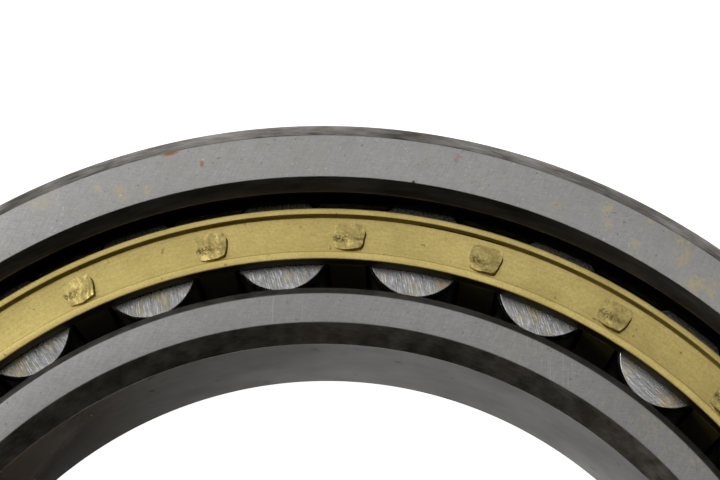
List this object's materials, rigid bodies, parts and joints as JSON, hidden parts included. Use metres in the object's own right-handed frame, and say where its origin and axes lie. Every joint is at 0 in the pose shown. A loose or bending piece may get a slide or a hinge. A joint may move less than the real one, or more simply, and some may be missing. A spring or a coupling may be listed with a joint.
{
  "type": "cylindrical roller bearing",
  "caption": "Cylindrical roller bearing: ribbed outer ring, plain inner ring and riveted two-piece brass cage. Carries radial load on a shaft and lets it float endways.",
  "frame": {"origin": "on the bearing axis at the inner ring's rear face, the lowest point as the bearing lies flat", "axes": "+Z along the bearing axis towards the front faces, +Y through the first roller"},
  "size_m": [0.15, 0.15, 0.0265],
  "materials": {
    "ring_steel": "ground faces with fine scratches, darker polished rib bores and chamfers",
    "roller_steel": "ground ends with crossing grinding marks, polished sides",
    "cage_brass": "matt turned brass"
  },
  "bodies": {
    "outer_ring": {"outer_ring": "ring_steel"},
    "inner_ring": {"inner_ring": "ring_steel"},
    "cage": {"cage_body": "cage_brass", "cage_end_ring": "cage_brass"},
    "roller_01": {"roller_01": "roller_steel"},
    "roller_02": {"roller_02": "roller_steel"},
    "roller_03": {"roller_03": "roller_steel"},
    "roller_04": {"roller_04": "roller_steel"},
    "roller_05": {"roller_05": "roller_steel"},
    "roller_06": {"roller_06": "roller_steel"},
    "roller_07": {"roller_07": "roller_steel"},
    "roller_08": {"roller_08": "roller_steel"},
    "roller_09": {"roller_09": "roller_steel"},
    "roller_10": {"roller_10": "roller_steel"},
    "roller_11": {"roller_11": "roller_steel"},
    "roller_12": {"roller_12": "roller_steel"},
    "roller_13": {"roller_13": "roller_steel"},
    "roller_14": {"roller_14": "roller_steel"},
    "roller_15": {"roller_15": "roller_steel"},
    "roller_16": {"roller_16": "roller_steel"},
    "roller_17": {"roller_17": "roller_steel"},
    "roller_18": {"roller_18": "roller_steel"},
    "roller_19": {"roller_19": "roller_steel"},
    "roller_20": {"roller_20": "roller_steel"},
    "roller_21": {"roller_21": "roller_steel"},
    "roller_22": {"roller_22": "roller_steel"},
    "roller_23": {"roller_23": "roller_steel"},
    "roller_24": {"roller_24": "roller_steel"},
    "roller_25": {"roller_25": "roller_steel"}
  },
  "joints": [
    {"name": "inner_ring_spin", "type": "hinge", "parent": "outer_ring", "child": "inner_ring", "pos_m": [0, 0, 0.012], "axis": [0, 0, 1], "continuous": true},
    {"name": "cage_spin", "type": "hinge", "parent": "outer_ring", "child": "cage", "pos_m": [0, 0, 0.0145], "axis": [0, 0, 1], "continuous": true},
    {"name": "roller_01_spin", "type": "hinge", "parent": "cage", "child": "roller_01", "pos_m": [0, 0.0625, 0.0145], "axis": [0, 0, 1], "continuous": true},
    {"name": "roller_02_spin", "type": "hinge", "parent": "cage", "child": "roller_02", "pos_m": [-0.01554, 0.06054, 0.0145], "axis": [0, 0, 1], "continuous": true},
    {"name": "roller_03_spin", "type": "hinge", "parent": "cage", "child": "roller_03", "pos_m": [-0.03011, 0.05477, 0.0145], "axis": [0, 0, 1], "continuous": true},
    {"name": "roller_04_spin", "type": "hinge", "parent": "cage", "child": "roller_04", "pos_m": [-0.04278, 0.04556, 0.0145], "axis": [0, 0, 1], "continuous": true},
    {"name": "roller_05_spin", "type": "hinge", "parent": "cage", "child": "roller_05", "pos_m": [-0.05277, 0.03349, 0.0145], "axis": [0, 0, 1], "continuous": true},
    {"name": "roller_06_spin", "type": "hinge", "parent": "cage", "child": "roller_06", "pos_m": [-0.05944, 0.01931, 0.0145], "axis": [0, 0, 1], "continuous": true},
    {"name": "roller_07_spin", "type": "hinge", "parent": "cage", "child": "roller_07", "pos_m": [-0.06238, 0.00392, 0.0145], "axis": [0, 0, 1], "continuous": true},
    {"name": "roller_08_spin", "type": "hinge", "parent": "cage", "child": "roller_08", "pos_m": [-0.06139, -0.01171, 0.0145], "axis": [0, 0, 1], "continuous": true},
    {"name": "roller_09_spin", "type": "hinge", "parent": "cage", "child": "roller_09", "pos_m": [-0.05655, -0.02661, 0.0145], "axis": [0, 0, 1], "continuous": true},
    {"name": "roller_10_spin", "type": "hinge", "parent": "cage", "child": "roller_10", "pos_m": [-0.04816, -0.03984, 0.0145], "axis": [0, 0, 1], "continuous": true},
    {"name": "roller_11_spin", "type": "hinge", "parent": "cage", "child": "roller_11", "pos_m": [-0.03674, -0.05056, 0.0145], "axis": [0, 0, 1], "continuous": true},
    {"name": "roller_12_spin", "type": "hinge", "parent": "cage", "child": "roller_12", "pos_m": [-0.02301, -0.05811, 0.0145], "axis": [0, 0, 1], "continuous": true},
    {"name": "roller_13_spin", "type": "hinge", "parent": "cage", "child": "roller_13", "pos_m": [-0.00783, -0.06201, 0.0145], "axis": [0, 0, 1], "continuous": true},
    {"name": "roller_14_spin", "type": "hinge", "parent": "cage", "child": "roller_14", "pos_m": [0.00783, -0.06201, 0.0145], "axis": [0, 0, 1], "continuous": true},
    {"name": "roller_15_spin", "type": "hinge", "parent": "cage", "child": "roller_15", "pos_m": [0.02301, -0.05811, 0.0145], "axis": [0, 0, 1], "continuous": true},
    {"name": "roller_16_spin", "type": "hinge", "parent": "cage", "child": "roller_16", "pos_m": [0.03674, -0.05056, 0.0145], "axis": [0, 0, 1], "continuous": true},
    {"name": "roller_17_spin", "type": "hinge", "parent": "cage", "child": "roller_17", "pos_m": [0.04816, -0.03984, 0.0145], "axis": [0, 0, 1], "continuous": true},
    {"name": "roller_18_spin", "type": "hinge", "parent": "cage", "child": "roller_18", "pos_m": [0.05655, -0.02661, 0.0145], "axis": [0, 0, 1], "continuous": true},
    {"name": "roller_19_spin", "type": "hinge", "parent": "cage", "child": "roller_19", "pos_m": [0.06139, -0.01171, 0.0145], "axis": [0, 0, 1], "continuous": true},
    {"name": "roller_20_spin", "type": "hinge", "parent": "cage", "child": "roller_20", "pos_m": [0.06238, 0.00392, 0.0145], "axis": [0, 0, 1], "continuous": true},
    {"name": "roller_21_spin", "type": "hinge", "parent": "cage", "child": "roller_21", "pos_m": [0.05944, 0.01931, 0.0145], "axis": [0, 0, 1], "continuous": true},
    {"name": "roller_22_spin", "type": "hinge", "parent": "cage", "child": "roller_22", "pos_m": [0.05277, 0.03349, 0.0145], "axis": [0, 0, 1], "continuous": true},
    {"name": "roller_23_spin", "type": "hinge", "parent": "cage", "child": "roller_23", "pos_m": [0.04278, 0.04556, 0.0145], "axis": [0, 0, 1], "continuous": true},
    {"name": "roller_24_spin", "type": "hinge", "parent": "cage", "child": "roller_24", "pos_m": [0.03011, 0.05477, 0.0145], "axis": [0, 0, 1], "continuous": true},
    {"name": "roller_25_spin", "type": "hinge", "parent": "cage", "child": "roller_25", "pos_m": [0.01554, 0.06054, 0.0145], "axis": [0, 0, 1], "continuous": true}
  ],
  "couplings": [
    {"joint": "cage_spin", "follows": "inner_ring_spin", "ratio": 0.452},
    {"joint": "roller_01_spin", "follows": "inner_ring_spin", "ratio": -5.1603},
    {"joint": "roller_02_spin", "follows": "inner_ring_spin", "ratio": -5.1603},
    {"joint": "roller_03_spin", "follows": "inner_ring_spin", "ratio": -5.1603},
    {"joint": "roller_04_spin", "follows": "inner_ring_spin", "ratio": -5.1603},
    {"joint": "roller_05_spin", "follows": "inner_ring_spin", "ratio": -5.1603},
    {"joint": "roller_06_spin", "follows": "inner_ring_spin", "ratio": -5.1603},
    {"joint": "roller_07_spin", "follows": "inner_ring_spin", "ratio": -5.1603},
    {"joint": "roller_08_spin", "follows": "inner_ring_spin", "ratio": -5.1603},
    {"joint": "roller_09_spin", "follows": "inner_ring_spin", "ratio": -5.1603},
    {"joint": "roller_10_spin", "follows": "inner_ring_spin", "ratio": -5.1603},
    {"joint": "roller_11_spin", "follows": "inner_ring_spin", "ratio": -5.1603},
    {"joint": "roller_12_spin", "follows": "inner_ring_spin", "ratio": -5.1603},
    {"joint": "roller_13_spin", "follows": "inner_ring_spin", "ratio": -5.1603},
    {"joint": "roller_14_spin", "follows": "inner_ring_spin", "ratio": -5.1603},
    {"joint": "roller_15_spin", "follows": "inner_ring_spin", "ratio": -5.1603},
    {"joint": "roller_16_spin", "follows": "inner_ring_spin", "ratio": -5.1603},
    {"joint": "roller_17_spin", "follows": "inner_ring_spin", "ratio": -5.1603},
    {"joint": "roller_18_spin", "follows": "inner_ring_spin", "ratio": -5.1603},
    {"joint": "roller_19_spin", "follows": "inner_ring_spin", "ratio": -5.1603},
    {"joint": "roller_20_spin", "follows": "inner_ring_spin", "ratio": -5.1603},
    {"joint": "roller_21_spin", "follows": "inner_ring_spin", "ratio": -5.1603},
    {"joint": "roller_22_spin", "follows": "inner_ring_spin", "ratio": -5.1603},
    {"joint": "roller_23_spin", "follows": "inner_ring_spin", "ratio": -5.1603},
    {"joint": "roller_24_spin", "follows": "inner_ring_spin", "ratio": -5.1603},
    {"joint": "roller_25_spin", "follows": "inner_ring_spin", "ratio": -5.1603}
  ]
}
